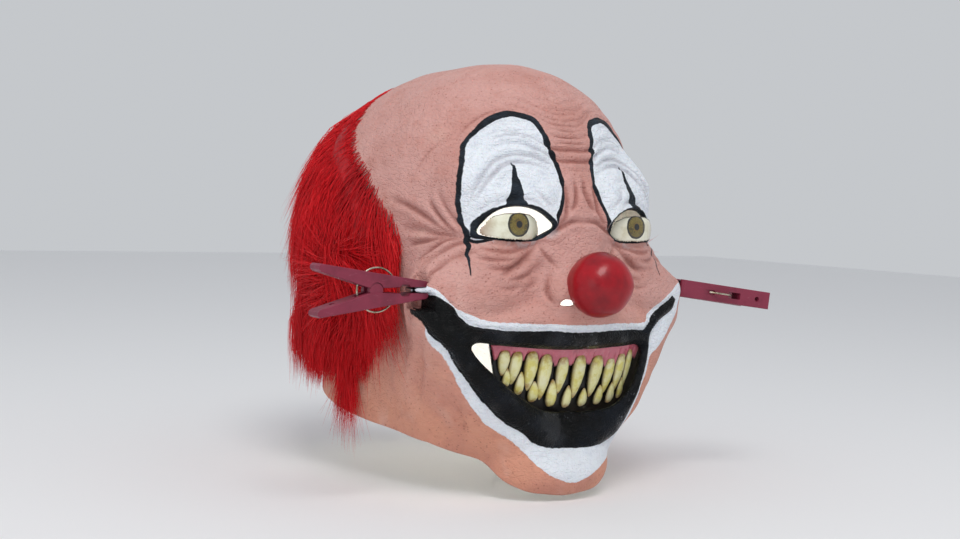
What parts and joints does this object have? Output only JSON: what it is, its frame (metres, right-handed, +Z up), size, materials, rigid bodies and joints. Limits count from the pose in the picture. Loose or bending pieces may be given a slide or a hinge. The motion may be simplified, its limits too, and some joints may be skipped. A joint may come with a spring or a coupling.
{
  "type": "latex halloween mask",
  "caption": "Full-head latex clown mask with faux-fur hair, red nose, pointed teeth and eye slits, hung from sprung clothes pegs at the mouth corners.",
  "frame": {"origin": "centre of the head cavity at eye level", "axes": "+Z up, the face looks along -Y, +X is the wearer's left"},
  "size_m": [0.3572, 0.3211, 0.2754],
  "materials": {
    "latex_skin": "matt painted latex",
    "nose_red": "glossy",
    "eye_gloss": "glossy",
    "mouth_black": "satin",
    "gum_pink": "satin",
    "tooth_ivory": "glossy",
    "fur_red": "long pile faux fur",
    "peg_plastic": "satin moulded",
    "spring_wire": "bright wire"
  },
  "bodies": {
    "mask": {"mask_skin": "latex_skin", "nose_ball": "nose_red", "right_eye": "eye_gloss", "left_eye": "eye_gloss", "tooth_panel": "mouth_black", "upper_gum": "gum_pink", "upper_teeth": "tooth_ivory", "lower_teeth": "tooth_ivory", "fur_right": "fur_red", "fur_back": "fur_red", "fur_left": "fur_red"},
    "right_peg": {"right_peg_lower_arm": "peg_plastic", "right_peg_spring": "spring_wire"},
    "right_peg_lever": {"right_peg_upper_arm": "peg_plastic"},
    "left_peg": {"left_peg_rear_arm": "peg_plastic", "left_peg_spring": "spring_wire"},
    "left_peg_lever": {"left_peg_front_arm": "peg_plastic"}
  },
  "joints": [
    {"name": "right_peg_pull", "type": "slide", "parent": "mask", "child": "right_peg", "axis": [-1, 0, 0], "range_m": [0, 0.06]},
    {"name": "right_peg_squeeze", "type": "hinge", "parent": "right_peg", "child": "right_peg_lever", "pos_m": [-0.134, -0.084, -0.038], "axis": [0, -1, 0], "range_deg": [0, 16], "stiffness_Nm_per_rad": 0.6, "springref_deg": -17.19, "deforming": ["right_peg_spring"]},
    {"name": "left_peg_pull", "type": "slide", "parent": "mask", "child": "left_peg", "axis": [0.9925, 0, -0.1219], "range_m": [0, 0.06]},
    {"name": "left_peg_squeeze", "type": "hinge", "parent": "left_peg", "child": "left_peg_lever", "pos_m": [0.14473, -0.084, -0.04239], "axis": [0.1219, 0, 0.9925], "range_deg": [0, 16], "stiffness_Nm_per_rad": 0.6, "springref_deg": -17.19, "deforming": ["left_peg_spring"]}
  ]
}
